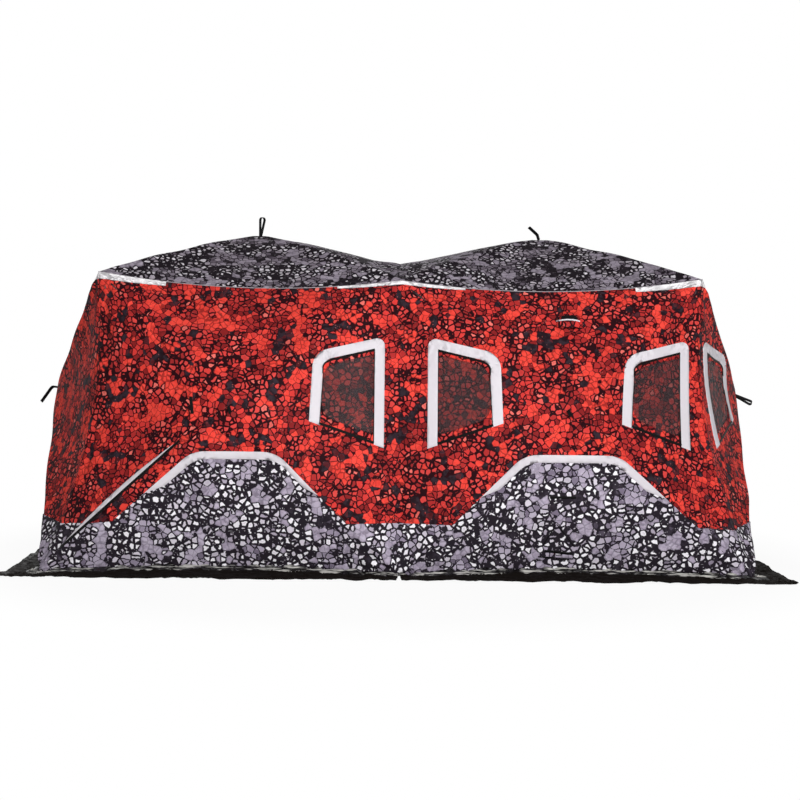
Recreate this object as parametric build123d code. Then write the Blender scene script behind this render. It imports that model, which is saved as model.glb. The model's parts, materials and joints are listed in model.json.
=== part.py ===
# A double ice fishing hut: two square modules of quilted cloth, pushed out by sprung hub frames.
# Origin on the ground at the middle of the plan, +X along the front to the right, +Z up, millimetres.
# The back half is the front half turned half a turn about Z, so each part is built once and turned.
from build123d import *
import math
import os
import numpy as np

# ------------------------------------------------------------------ plan and heights
foot_half_length = 2100.0        # ground corners, along the front
foot_half_depth = 1050.0         # ground corners, front to back
head_half_length = 1810.0        # eave corners, along the front
head_half_depth = 790.0          # eave corners, front to back
corner_head_height = 1775.0
middle_head_height = 1745.0
peak_height = 2050.0             # outer face of the cloth at the roof hubs
front_hub_height = 1000.0
front_hub_reach = 115.0          # how far the front hubs push out past the ground line
end_hub_height = 1055.0
end_hub_reach = 108.0

# ------------------------------------------------------------------ how the cloth's edges bow, at mid edge
corner_seam_bow = 108.0          # inward, along X and along Y
middle_seam_bow = 40.0           # outward
hem_bow = 110.0                  # inward
hem_lift = 28.0
eave_bow = 20.0                  # inward
eave_drop = 70.0
valley_rise = 105.0
ridge_bow = 18.0                 # outward, of the sprung poles
end_ridge_bow = 8.0              # and of those in the two ends

# ------------------------------------------------------------------ cloth
wall_cloth = 5.0                 # quilted, three layers
trim_cloth = 2.0                 # aprons, tapes and zips sewn on the outside
film = 1.2
film_depth = 1.0                 # behind the outer face
cover_cloth = 2.0                # window covers on the inside
hub_patch = 45.0                 # half width of the flat square over each hub
wall_zone = 1.25 * max(foot_half_length + end_hub_reach - head_half_length,
                       foot_half_depth + front_hub_reach - head_half_depth)  # how deep a wall leans
skirt_cloth = 2.0
skirt_width = 205.0
skirt_drop = 0.35                # share of the skirt's width where it meets the ground
skirt_notch = 18.0               # half gap between two skirts at the middle feet

# ------------------------------------------------------------------ windows, in a wall's own elevation
window_width = 320.0
window_lean = 18.0               # how far the short side leans in towards its head
window_tall_sill = 782.0
window_tall_head = 1335.0
window_short_sill = 898.0
window_short_head = 1262.0
window_corner = 70.0             # rounding of the top corner on the short side
window_tape = 59.0
window_tape_corner = 110.0
window_tape_bend = 46.0          # outside, over the tall side
window_tape_drop = 10.0          # the tape's legs end this far below the sill line
film_head = 32.0                 # cloth left between the top tape and the opening
film_foot = 46.0                 # and between the sill line and the opening
film_side = 6.0
film_corner = 16.0               # of the opening, on the tall side
film_head_corner = 95.0          # and on the short side
film_foot_corner = 110.0
cover_lap = 28.0                 # the inside cover past the tape's inner edge
front_left_window = (1, 882.0)   # side of the wall's centre line, and centre line to outer tape edge
front_right_windows = ((-1, 818.0), (1, 757.0))
right_end_window = (-1, 714.0)

# ------------------------------------------------------------------ door, in the outer side gore
door_hinge_inset = 62.0          # from the corner seam
door_foot_height = 150.0
door_knee = (303.0, 790.0)       # out from the wall's centre line, and height
door_latch = (238.0, 862.0)
door_latch_head = 1165.0
door_head = 1625.0
door_corner = 70.0
door_knee_bend = 45.0
zip_width = 16.0
binding_width = 24.0             # pale band above the zip's foot run, at its middle
binding_start = 40.0             # from either end of that run

# ------------------------------------------------------------------ aprons
apron_band_height = 312.0
apron_band_fall = 30.0           # how much lower the band is at the hut's corners
apron_height = 730.0             # outer edge of the tape over the middle
apron_corner = 190.0
apron_tape = 46.0
apron_tape_foot = 480.0          # where the tape's outer edge ends
apron_tape_cut = 44.0            # its inner edge ends this much higher
apron_gaps = {"front_left": (54.0, -8.0),  # the sloped sides keep this far inside the pole lines
              "front_right": (7.0, 7.0), "right_end": (10.0, 10.0)}

# ------------------------------------------------------------------ tapes at the eave
corner_tape_length = 400.0
corner_tape_heights = (42.0, 26.0)     # at its corner and at its far end
middle_tape_length = 385.0
middle_tape_heights = (24.0, 13.0)

# ------------------------------------------------------------------ vents
vent_side = 22.0                 # right of the wall's centre line
vent_sill = 1474.0
vent_half_width = 80.0
vent_height = 90.0
vent_reach = 42.0
vent_wall = 2.5
vent_hole_half_width = 62.0
vent_hole_height = 56.0
hood_backing = 60.0              # what is cut off behind the wall's face
pocket_side = 5.0                # a tented gusset for leads, open below
pocket_sill = 112.0
pocket_half_width = 92.0
pocket_height = 235.0
pocket_reach = 26.0
pocket_crown = 0.45              # size of its outer face, as a share of its foot on the cloth
roof_flap_side = 112.0
roof_flap_half_width = 110.0
roof_flap_front = 705.0          # distance of its lower edge from the ridge plane
roof_flap_length = 150.0

# ------------------------------------------------------------------ frame
pole_radius = 5.5
arm_radius = 8.5                 # the bored barrels that take the poles' ends
stem_radius = 6.5                # from a hub out to its barrels
hub_radius = 33.0
hub_height = 34.0
socket_radius = 15.0
socket_depth = 26.0              # of the eave sockets, behind the cloth's corner
foot_depth = 38.0                # of the ground sockets, clear of the bowed hems
socket_reach = 95.0              # from a cloth corner to the pole's end, along the ridge
foot_height = 30.0
arm_cover = 3.0                  # of a ground socket's body over its arms' axes' crossing
pole_seat = 18.0                 # how far a pole's end goes into an arm
frame_gap = 2.5                  # arms off the cloth
fit_gap = 0.2                    # poles in their arms

# ------------------------------------------------------------------ pull loops
strap_width = 22.0
strap = 2.2                      # thickness of the webbing
strap_turn = 45.0                # how far the webbing has turned about its own run
loop_length = 125.0
roof_loop = (84.0, 17.0)         # how far it leans up from level, in degrees, and its eye's radius
end_loop = (-25.0, 13.0)
front_left_tab = ((0, 0), (38, 4), (62, -42))          # out from the hub, and up
front_right_tab = ((0, 0), (44, 0), (58, -38))
left_end_tab = ((0, 0), (56, 14), (110.7, -96))
right_roof_tab = ((0, 0), (-4, 40), (-66, 84))         # along +X from the hub, and up


# ================================================================== the cloth's net of points
def point(x, y, z):
    return np.array([x, y, z], float)


def unit(v):
    return v / np.linalg.norm(v)


def corner(key):
    level, x, y = key
    if level == "foot":
        return point(x * foot_half_length, y * foot_half_depth, skirt_cloth)
    height = corner_head_height if x else middle_head_height
    return point(x * head_half_length, y * head_half_depth, height)


def edge_bow(a, b):
    """How far the cloth's edge between two corners leaves the straight line, at its middle."""
    (level_a, xa, ya), (level_b, xb, yb) = a, b
    if level_a != level_b:
        if xa:
            return point(-xa * corner_seam_bow, -ya * corner_seam_bow, 0)
        return point(0, ya * middle_seam_bow, 0)
    inward = point(-xa, 0, 0) if xa == xb else point(0, -ya, 0)
    if level_a == "foot":
        return hem_bow * inward + point(0, 0, hem_lift)
    if xa == xb == 0:
        return point(0, 0, valley_rise)
    return eave_bow * inward - point(0, 0, eave_drop)


def turned(panel):
    """The same panel half a turn about Z away."""
    corners, hub = panel
    return [(level, -x, -y) for level, x, y in corners], hub * point(-1, -1, 1)


front_hub_side = (foot_half_length + head_half_length) / 4
panels = {
    "front_left": ([("foot", -1, -1), ("foot", 0, -1), ("head", 0, -1), ("head", -1, -1)],
                   point(-front_hub_side, -foot_half_depth - front_hub_reach, front_hub_height)),
    "front_right": ([("foot", 0, -1), ("foot", 1, -1), ("head", 1, -1), ("head", 0, -1)],
                    point(front_hub_side, -foot_half_depth - front_hub_reach, front_hub_height)),
    "right_end": ([("foot", 1, -1), ("foot", 1, 1), ("head", 1, 1), ("head", 1, -1)],
                  point(foot_half_length + end_hub_reach, 0, end_hub_height)),
    "right_roof": ([("head", 0, -1), ("head", 1, -1), ("head", 1, 1), ("head", 0, 1)],
                   point(head_half_length / 2, 0, peak_height)),
}
twins = {"front_left": "back_right", "front_right": "back_left",
         "right_end": "left_end", "right_roof": "left_roof"}
panels.update({twins[name]: turned(panels[name]) for name in list(twins)})


def panel_normal(name):
    a, b, c, d = [corner(key) for key in panels[name][0]]
    return unit(np.cross(c - a, d - b))


def gore_normal(name, i):
    corners, hub = panels[name]
    a, b = corner(corners[i]), corner(corners[(i + 1) % 4])
    return unit(np.cross(b - a, hub - a))


gore_normals = {(name, i): gore_normal(name, i) for name in panels for i in range(4)}


def pull(normals, level=False):
    """The step that goes one unit behind each of the planes with these normals."""
    rows = np.array(normals)[:, :2] if level else np.array(normals)
    step = np.linalg.lstsq(rows, -np.ones(len(rows)), rcond=None)[0]
    return np.append(step, 0) if level else step


def corner_pull(key):
    touching = [gore_normals[name, i] for name, (corners, _) in panels.items()
                for i in range(4) if key in (corners[i], corners[(i + 1) % 4])]
    return pull(touching, level=key[0] == "foot")


def seam_pull(a, b):
    touching = [gore_normals[name, i] for name, (corners, _) in panels.items()
                for i in range(4) if {a, b} == {corners[i], corners[(i + 1) % 4]}]
    return pull(touching, level=a[0] == b[0] == "foot")


def seam(a, b, depth):
    """The three control points of the cloth's edge between two corners, at a depth."""
    middle = (corner(a) + corner(b)) / 2 + 2 * edge_bow(a, b) + depth * seam_pull(a, b)
    return [corner(a) + depth * corner_pull(a), middle, corner(b) + depth * corner_pull(b)]


def ridge(name, k, depth):
    """The three control points over the pole from corner k to the hub patch, at a depth."""
    corners, hub = panels[name]
    normal = panel_normal(name)
    start = corner(corners[k])
    flat = (start - hub) - np.dot(start - hub, normal) * normal
    end = hub + math.sqrt(2) * hub_patch * unit(flat)
    along = unit(end - start)
    outward = unit(normal - np.dot(normal, along) * along)
    beside = pull([gore_normals[name, k], gore_normals[name, (k - 1) % 4]])
    bow = end_ridge_bow if "end" in name else ridge_bow
    return [start + depth * corner_pull(corners[k]),
            (start + end) / 2 + 2 * bow * outward + depth * beside,
            end - depth * normal]


def gore(name, i, depth):
    """Control points of the gore between corners i and i + 1, from the seam to the hub patch."""
    corners = panels[name][0]
    a, b = corners[i], corners[(i + 1) % 4]
    left, right = ridge(name, i, depth), ridge(name, (i + 1) % 4, depth)
    edge = seam(a, b, depth)
    patch_edge = (left[2] + right[2]) / 2
    middle = ((left[1] + right[1]) / 2 + (edge[1] + patch_edge) / 2
              - (edge[0] + edge[2] + left[2] + right[2]) / 4)
    return [edge, [left[1], middle, right[1]], [left[2], patch_edge, right[2]]]


def along(net, t):
    """A point on the curve with these three control points."""
    return (1 - t) ** 2 * net[0] + 2 * t * (1 - t) * net[1] + t * t * net[2]


# ================================================================== faces and solids
def patch(net):
    return Face.make_bezier_surface([[tuple(p) for p in row] for row in net])


def cloth(name, outer, inner):
    """One panel of cloth between two depths: four gores round a flat hub patch."""
    faces = []
    for i in range(4):
        front, back = gore(name, i, outer), gore(name, i, inner)
        faces += [patch(front), patch(back), patch([front[0], back[0]])]
    for depth in (outer, inner):
        rim = [tuple(ridge(name, k, depth)[2]) for k in range(4)]
        faces.append(Face(Wire.make_polygon(rim, close=True)))
    return Solid(Shell(faces))


def elevation(name):
    """The upright plane of a wall: X to the right as seen from outside, Y up, Z outwards."""
    hub = panels[name][1]
    outward = (math.copysign(1, hub[0]), 0) if "end" in name else (0, math.copysign(1, hub[1]))
    across = (-outward[1], outward[0], 0)
    base = (hub[0], hub[1], 0)
    return Plane(origin=base, x_dir=across, z_dir=(*outward, 0))


def prism(name, outline):
    """A face in the wall's elevation, run right through the wall."""
    return extrude(elevation(name) * outline, amount=wall_zone, both=True)


def trim(name, outline, outer, inner):
    return cloth(name, outer, inner) & prism(name, outline)


# ================================================================== walls, windows and doors
window_places = {
    "front_left": [front_left_window],
    "front_right": list(front_right_windows),
    "right_end": [right_end_window],
}
window_slope = (window_short_sill - window_tall_sill) / window_width


def rounded_polygon(corners, rounds):
    """A closed outline with some of its corners rounded: rounds gives corner number to radius."""
    face = make_face(Polyline(*corners, close=True))
    for k, radius in rounds.items():
        face = fillet(face.vertices().sort_by_distance((*corners[k], 0))[0], radius)
    return face


def window_outline(side, edge, margin=0.0, low=0.0, round_off=window_corner, bend=0.0):
    """A window's frame inside its tape, grown by a margin at top and sides and by low at the sill."""
    tall, short = edge - window_tape + margin, edge - window_tape - window_width - margin
    sill = window_tall_sill - low
    rise = (window_tall_head - window_short_head) / window_width
    reach = window_width + margin
    corners = [(tall, sill - margin * window_slope),
               (tall, window_tall_head + margin * (1 + rise)),
               (short + window_lean, window_tall_head + margin - (reach - window_lean) * rise),
               (short, sill + reach * window_slope)]
    face = rounded_polygon(corners, {1: bend, 2: round_off} if bend else {2: round_off})
    return face if side > 0 else mirror(face, Plane.YZ)


def film_outline(side, edge):
    """The opening in the cloth: the window's frame drawn in, with soft corners on its short side."""
    tall, short = edge - window_tape - film_side, edge - window_tape - window_width + film_side
    head_slope = (window_tall_head - window_short_head) / window_width
    corners = []
    for foot, head in ((tall, tall), (short, short + window_lean)):
        out, back = edge - window_tape - foot, edge - window_tape - head
        corners += [(foot, window_tall_sill + out * window_slope + film_foot),
                    (head, window_tall_head - back * head_slope - film_head)]
    tall_foot, tall_head, short_foot, short_head = corners
    face = rounded_polygon([tall_foot, tall_head, short_head, short_foot],
                           {0: film_corner, 1: film_corner,
                            2: film_head_corner, 3: film_foot_corner})
    return face if side > 0 else mirror(face, Plane.YZ)


def tape_outline(side, edge):
    outer = window_outline(side, edge, window_tape, window_tape_drop, window_tape_corner,
                           window_tape_bend)
    return outer - window_outline(side, edge, 0, 3 * window_tape)


def seam_inset(name, k, height, inset):
    """Across-value, in the wall's elevation, of a point beside its upright seam k."""
    a, b = panels[name][0][k], panels[name][0][(k + 1) % 4]
    low, high = (a, b) if a[0] == "foot" else (b, a)
    net = seam(low, high, 0)
    t = (height - net[0][2]) / (net[2][2] - net[0][2])
    place = elevation(name).to_local_coords(Vector(*along(net, t)))
    return place.X - math.copysign(inset, place.X)


def door_hinge(inset=door_hinge_inset):
    """The line beside the corner seam where the front left door is sewn on, from head to foot."""
    foot, head = door_foot_height, door_head
    heights = (head, (foot + head) / 2, foot)
    return ThreePointArc(*[(seam_inset("front_left", 3, z, inset), z) for z in heights])


def door_zip_run():
    """The zip's line: up the lower pole line, up the latch side and back over the head."""
    hinge = door_hinge()
    spots = [hinge @ 1, (-door_knee[0], door_knee[1]), (-door_latch[0], door_latch[1]),
             (-door_latch[0], door_latch_head), hinge @ 0]
    return FilletPolyline(*spots, radius=[door_knee_bend, door_knee_bend, door_corner])


def door_outline():
    return make_face(door_hinge() + door_zip_run())


def vent_hole():
    arch = Pos(vent_side, vent_sill) * Ellipse(vent_hole_half_width, vent_hole_height)
    return arch & Pos(vent_side, vent_sill + vent_hole_height) * Rectangle(
        2 * vent_hole_half_width, 2 * vent_hole_height)


def wall(name):
    body = cloth(name, 0, wall_cloth)
    for place in window_places[name]:
        body -= prism(name, film_outline(*place))
    if name == "front_left":
        body -= prism(name, door_outline())
    if name == "front_right":
        body -= prism(name, vent_hole())
    return body


def windows(name):
    return [trim(name, film_outline(*place), film_depth, film_depth + film)
            for place in window_places[name]]


def window_covers(name):
    inner = wall_cloth + cover_cloth
    return [trim(name, window_outline(*place, cover_lap, cover_lap, window_corner + cover_lap),
                 wall_cloth, inner) for place in window_places[name]]


def window_tapes(name):
    return [trim(name, tape_outline(*place), -trim_cloth, 0) for place in window_places[name]]


def door_zip():
    return trace(door_zip_run(), zip_width)


def door_binding():
    """A pale band above the zip's foot run, widest at its middle."""
    knee = np.array([-door_knee[0], door_knee[1]])
    foot = np.array([*(door_hinge() @ 1)][:2])
    slope = unit(foot - knee)
    up = np.array([slope[1], -slope[0]])
    low = [knee + up * zip_width / 2 + slope * binding_start,
           foot + up * zip_width / 2 - slope * binding_start]
    crown = (low[0] + low[1]) / 2 + up * binding_width
    return make_face(ThreePointArc(tuple(low[0]), tuple(crown), tuple(low[1])) + Line(
        tuple(low[1]), tuple(low[0])))


# ================================================================== aprons and tapes
def ridge_line(name, k, inset=0.0):
    """Across-value of the apron's sloped side at a height, beside the pole line of foot k."""
    line = ridge(name, k, 0)
    low, high = [elevation(name).to_local_coords(Vector(*along(line, t))) for t in (0.2, 0.6)]
    slope = (high.X - low.X) / (high.Y - low.Y)
    inward = -math.copysign((apron_gaps[name][k] + inset) * math.hypot(1, slope), low.X)
    return lambda z: (low.X + (z - low.Y) * slope + inward, z)


def band_end(name, k):
    """The band's edge far outside the wall, on the line that falls towards a corner of the hut."""
    start = ridge_line(name, k)(apron_band_height)[0]
    end = seam_inset(name, 1 if k else 3, apron_band_height, 0)
    edge = math.copysign(2 * foot_half_length, end)
    fall = apron_band_fall if panels[name][0][k][1] else 0
    return edge, apron_band_height - fall * (edge - start) / (end - start)


def apron_outline(name):
    """The band round the foot, with its raised middle between the two lower pole lines."""
    left, right = ridge_line(name, 0), ridge_line(name, 1)
    edge = 2 * foot_half_length
    corners = [(-edge, -edge), (edge, -edge), band_end(name, 1), right(apron_band_height),
               right(apron_height), left(apron_height), left(apron_band_height),
               band_end(name, 0)]
    return rounded_polygon(corners, {4: apron_corner, 5: apron_corner})


def apron_tape_outline(name):
    left, right = [ridge_line(name, k) for k in (0, 1)]
    inner_left, inner_right = [ridge_line(name, k, apron_tape) for k in (0, 1)]
    low, cut = apron_height - apron_tape, apron_tape_foot + apron_tape_cut
    corners = [left(apron_tape_foot), left(apron_height), right(apron_height),
               right(apron_tape_foot), inner_right(cut), inner_right(low), inner_left(low),
               inner_left(cut)]
    inner_corner = apron_corner - apron_tape / 2
    return rounded_polygon(corners, {1: apron_corner, 2: apron_corner,
                                     5: inner_corner, 6: inner_corner})


def apron(name):
    body = trim(name, apron_outline(name), -trim_cloth, 0)
    body -= prism(name, apron_tape_outline(name))
    if name == "front_left":
        body -= prism(name, door_zip() + door_binding())
    return body


def eave_tape(name, k, length, heights):
    """A tape along a wall's eave from its head corner k, which is 2 at the right and 3 at the left."""
    corners = panels[name][0]
    net = seam(corners[k], corners[5 - k], 0)
    run = np.linalg.norm(net[2] - net[0])
    spots = []
    for share, t in ((0, -0.05), (0.5, length / run / 2), (1, length / run)):
        place = elevation(name).to_local_coords(Vector(*along(net, t)))
        spots.append((place.X, place.Y - heights[0] * (1 - share) - heights[1] * share))
    top = corner_head_height + heights[0]
    return make_face(ThreePointArc(*spots) + Polyline(spots[2], (spots[2][0], top),
                                                      (spots[0][0], top), spots[0]))


def eave_tapes():
    ends = [("front_left", 3, corner_tape_length, corner_tape_heights),
            ("front_left", 2, middle_tape_length, middle_tape_heights),
            ("front_right", 3, middle_tape_length, middle_tape_heights),
            ("front_right", 2, corner_tape_length, corner_tape_heights),
            ("right_end", 3, corner_tape_length, corner_tape_heights),
            ("right_end", 2, corner_tape_length, corner_tape_heights)]
    return [trim(end[0], eave_tape(*end), -trim_cloth, 0) for end in ends]


# ================================================================== skirts
def skirt(name):
    """A thin sheet tucked under the hem, which falls to the ground and lies out over it."""
    a, b = panels[name][0][:2]
    middle = (corner(a) + corner(b)) / 2

    def outer(key):
        _, x, y = key
        side = x * (foot_half_length + skirt_width) if x else math.copysign(
            skirt_notch, middle[0])
        return point(side, y * (foot_half_depth + skirt_width), skirt_cloth)

    tuck, hem = seam(a, b, wall_cloth), seam(a, b, -trim_cloth)
    rim = [outer(a), (outer(a) + outer(b)) / 2, outer(b)]
    fall = [p + (q - p) * skirt_drop for p, q in zip(hem, rim)]
    for p in fall:
        p[2] = skirt_cloth
    top = [[tuck, hem], [hem, fall, rim]]
    below = [[[p - point(0, 0, skirt_cloth) for p in row] for row in net] for net in top]
    faces = [patch(net) for net in top + below]
    faces += [patch([tuck, below[0][0]]), patch([rim, below[1][2]])]
    for net, low in zip(top, below):
        for end in (0, 2):
            faces.append(patch([[row[end] for row in net], [row[end] for row in low]]))
    return Solid(Shell(faces))


# ================================================================== vents
def hood(name, side, sill, half_width, height, reach, seat):
    """An eyebrow of stiff cloth over an opening, open below, that sits on the cloth at a depth."""
    plane = elevation(name)
    face = surface_at(name, side, sill)
    centre = plane.from_local_coords(Vector(side, sill, face))

    def dome(less):
        shape = scale(Sphere(1), (half_width - less, height - less, reach - less))
        return Plane(centre, x_dir=plane.x_dir, z_dir=plane.z_dir) * shape

    shell = dome(0) - dome(vent_wall)
    above = prism(name, Pos(side, sill + height) * Rectangle(2 * wall_zone, 2 * height))
    return (shell & above) - cloth(name, seat, hood_backing)


def gusset(name, side, sill, half_width, height, reach, seat):
    """A three-cornered tent of stiff cloth that stands out from the wall, open below."""
    plane = elevation(name)
    low, high = [plane.from_local_coords(Vector(side, z, surface_at(name, side, z)))
                 for z in (sill, sill + height)]
    leaning = Plane(origin=low, x_dir=plane.x_dir, z_dir=plane.x_dir.cross(high - low))

    def tent(less):
        foot = [(less - half_width, -less), (half_width - less, -less), (0, height - 2 * less)]
        crown = [(pocket_crown * x, pocket_crown * y) for x, y in foot]
        foot, crown = [make_face(Polyline(*spots, close=True)) for spots in (foot, crown)]
        return loft([leaning.offset(-hood_backing / 2) * foot, leaning * foot], ruled=True) + loft(
            [leaning * foot, leaning.offset(reach - less) * crown], ruled=True)

    return tent(0) - tent(vent_wall) - cloth(name, seat, hood_backing)


def surface_at(name, side, height):
    """How far the wall's outer face stands out of its elevation plane at a place."""
    pin = Pos(side, height) * Rectangle(1, 1)
    return elevation(name).to_local_coords(
        Vector(*(prism(name, pin) & cloth(name, 0, 1)).center())).Z


def vent_mesh():
    return trim("front_right", vent_hole(), film_depth, film_depth + film)


def roof_flap():
    """A small cover on the front slope of the roof, sewn along its upper edge."""
    hub = panels["right_roof"][1]
    middle = -roof_flap_front + roof_flap_length / 2
    spot = Pos(hub[0] + roof_flap_side, middle) * Rectangle(
        2 * roof_flap_half_width, roof_flap_length)
    return cloth("right_roof", -trim_cloth, 0) & extrude(spot, amount=2 * peak_height)


# ================================================================== frame
pole_depth = wall_cloth + frame_gap + arm_radius


def rod(a, b, radius):
    a, b = Vector(*a), Vector(*b)
    return Plane(origin=a, z_dir=b - a) * extrude(Circle(radius), amount=(b - a).length)


def pole_line(name, k, step=0.0):
    """Start, middle and end of a sprung pole, with its ends drawn in by a step."""
    net = ridge(name, k, pole_depth)
    length = np.linalg.norm(net[2] - net[0])
    start, end = (socket_reach + step) / length, 1 - step / length
    return [along(net, t) for t in (start, (start + end) / 2, end)]


def pole(name, k, radius=pole_radius):
    path = ThreePointArc(*[tuple(p) for p in pole_line(name, k)])
    return sweep(Plane(origin=path @ 0, z_dir=path % 0) * Circle(radius), path=path)


def poles(*names):
    return [pole(name, k) for name in names for k in range(4)]


def hub_body(name):
    """A turned hub behind the cloth's patch, with a stem and a bored barrel for each of its poles."""
    hub, normal = panels[name][1], panel_normal(name)
    body = extrude(Circle(hub_radius), amount=hub_height)
    body = chamfer(body.edges().group_by(Axis.Z)[-1], hub_height / 5)
    body += Pos(0, 0, hub_height) * extrude(Circle(hub_radius / 3), amount=hub_height / 5)
    body = Plane(origin=Vector(*(hub - wall_cloth * normal)), z_dir=Vector(*-normal)) * body
    ends = [(pole_line(name, k)[2], pole_line(name, k, pole_seat)[2]) for k in range(4)]
    for tip, mouth in ends:
        body += rod(hub - pole_depth * normal, tip, stem_radius)
        body += rod(tip + unit(tip - mouth) * pole_radius, mouth, arm_radius)
    for tip, mouth in ends:
        body -= rod(tip, mouth, pole_radius + fit_gap)
    return body


def socket(key):
    """A corner socket: a knuckle with a bored arm to each pole that meets there, and a foot."""
    low = key[0] == "foot"
    centre = corner(key) + (foot_depth if low else socket_depth) * corner_pull(key)
    if low:
        centre[2] = foot_height - arm_cover - arm_radius
        body = Pos(centre[0], centre[1], 0) * extrude(Circle(socket_radius), amount=foot_height)
    else:
        knuckle = Cylinder(socket_radius, 2 * socket_radius)
        knuckle = chamfer(knuckle.edges(), socket_radius / 4)
        body = Plane(origin=Vector(*centre), z_dir=Vector(*corner_pull(key))) * knuckle
    ends = [(name, corners.index(key)) for name, (corners, _) in panels.items() if key in corners]
    for name, k in ends:
        body += rod(centre, pole_line(name, k, pole_seat)[0], arm_radius)
    for name, k in ends:
        body -= pole(name, k, pole_radius + fit_gap)
    return body.solid()


# ================================================================== pull loops
def loop_plane(name):
    """X out of the hub, Y up; the loop's width runs along Z."""
    hub, normal = panels[name][1], panel_normal(name)
    if "roof" in name:
        return Plane(origin=Vector(*hub), x_dir=(1, 0, 0), z_dir=(0, -1, 0))
    out = Vector(*normal[:2], 0).normalized()
    return Plane(origin=Vector(*hub), x_dir=out, z_dir=out.cross(Vector(0, 0, 1)))


def strap_tab(name, route):
    """Webbing folded flat on itself, along a route of runs and bends."""
    bends = [loop_length / 6] * (len(route) - 2)
    path = FilletPolyline(*route, radius=bends) if bends else Line(*route)
    return webbing(name, trace(path, 2 * strap), math.degrees(math.atan2(*route[-1][::-1])))


def open_loop(name, lean, eye):
    """Webbing that stands open: a drop-shaped ring, narrow at the hub."""
    tip = loop_length - eye - strap

    def drop(less):
        root, far = Circle(2 * strap - less), Pos(tip, 0) * Circle(eye + strap - less)
        return make_hull(root.edges() + far.edges())

    return webbing(name, Rot(0, 0, lean) * (drop(0) - drop(strap)), lean)


def webbing(name, outline, lean):
    """An outline given the webbing's width, turned about its run and cut off at the hub patch."""
    plane = loop_plane(name)
    body = extrude(plane * outline, amount=strap_width / 2, both=True)
    run = plane.from_local_coords(Vector(1, 0, 0).rotate(Axis.Z, lean)) - plane.origin
    return body.rotate(Axis(plane.origin, run), strap_turn) - cloth(name, 0, hood_backing)


# ================================================================== the whole hut
def both(shapes):
    """The front half's solids and their twins, half a turn away."""
    return Compound(children=list(shapes) + [turn(shape) for shape in shapes])


def turn(shape):
    return shape.rotate(Axis.Z, 180)


def write(name, shape):
    export_step(shape, f"parts/{name}.step")


def main():
    os.makedirs("parts", exist_ok=True)
    for name in ("front_left", "front_right", "right_end"):
        pieces = {"wall": wall(name), "apron": apron(name), "skirt": skirt(name),
                  "window": Compound(children=windows(name))}
        for kind, shape in pieces.items():
            write(f"{name}_{kind}", shape)
            write(f"{twins[name]}_{kind}", turn(shape))
    write("right_roof", cloth("right_roof", 0, wall_cloth))
    write("left_roof", turn(cloth("right_roof", 0, wall_cloth)))

    leaf = trim("front_left", door_outline(), 0, wall_cloth)
    write("front_door", leaf)
    write("back_door", turn(leaf))

    names = ("front_left", "front_right", "right_end")
    write("window_covers", both([s for name in names for s in window_covers(name)]))
    write("window_tapes", both([s for name in names for s in window_tapes(name)]))
    write("apron_tapes", both([trim(name, apron_tape_outline(name), -trim_cloth, 0)
                               for name in names]))
    write("eave_tapes", both(eave_tapes()))
    write("door_zips", both([trim("front_left", door_zip(), -trim_cloth, 0)]))
    write("door_bindings", both([trim("front_left", door_binding(), -trim_cloth, 0)]))

    vent = (vent_side, vent_sill, vent_half_width, vent_height, vent_reach, 0)
    pocket = (pocket_side, pocket_sill, pocket_half_width, pocket_height, pocket_reach,
              -trim_cloth)
    write("vent_hoods", both([hood("front_right", *vent), gusset("front_right", *pocket),
                              roof_flap()]))
    write("vent_meshes", both([vent_mesh()]))

    walls = [name for name in panels if "roof" not in name]
    roofs = [name for name in panels if "roof" in name]
    write("wall_hubs", Compound(children=[hub_body(name) for name in walls]))
    write("roof_hubs", Compound(children=[hub_body(name) for name in roofs]))
    write("front_poles", Compound(children=poles("front_left", "front_right")))
    write("back_poles", Compound(children=poles("back_left", "back_right")))
    write("end_poles", Compound(children=poles("left_end", "right_end")))
    write("roof_poles", Compound(children=poles("left_roof", "right_roof")))
    keys = [(level, x, -1) for level in ("foot", "head") for x in (-1, 0, 1)]
    write("corner_sockets", both([socket(key) for key in keys]))

    write("left_roof_loop", open_loop("left_roof", *roof_loop))
    write("right_end_loop", open_loop("right_end", *end_loop))
    tabs = [strap_tab("front_left", front_left_tab), strap_tab("front_right", front_right_tab)]
    tabs += [turn(tab) for tab in tabs]
    tabs += [strap_tab("left_end", left_end_tab), strap_tab("right_roof", right_roof_tab)]
    write("pull_straps", Compound(children=tabs))


main()
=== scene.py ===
# The dressed ice fishing hut: printed cloth, tapes, film, skirts and webbing
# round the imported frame.
import json
import math

import bmesh
import bpy
import numpy as np
from mathutils import Matrix, Vector
from mathutils.bvhtree import BVHTree


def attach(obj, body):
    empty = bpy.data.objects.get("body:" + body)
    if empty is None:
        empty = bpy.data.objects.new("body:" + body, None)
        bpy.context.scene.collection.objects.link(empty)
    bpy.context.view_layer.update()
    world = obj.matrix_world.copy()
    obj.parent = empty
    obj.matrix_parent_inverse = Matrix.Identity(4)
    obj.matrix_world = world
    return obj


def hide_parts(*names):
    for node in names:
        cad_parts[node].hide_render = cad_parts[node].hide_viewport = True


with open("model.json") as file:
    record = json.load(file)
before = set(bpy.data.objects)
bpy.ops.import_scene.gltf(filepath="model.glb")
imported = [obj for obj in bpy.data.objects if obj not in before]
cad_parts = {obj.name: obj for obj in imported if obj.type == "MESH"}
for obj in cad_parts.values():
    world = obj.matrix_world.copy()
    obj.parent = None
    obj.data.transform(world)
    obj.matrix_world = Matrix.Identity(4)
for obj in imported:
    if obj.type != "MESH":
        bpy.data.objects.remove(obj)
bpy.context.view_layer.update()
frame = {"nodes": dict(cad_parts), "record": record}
nodes = frame["nodes"]
walls = ("front_left", "front_right", "back_left", "back_right", "left_end", "right_end")
print("frame loaded,", len(nodes), "nodes")


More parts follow.
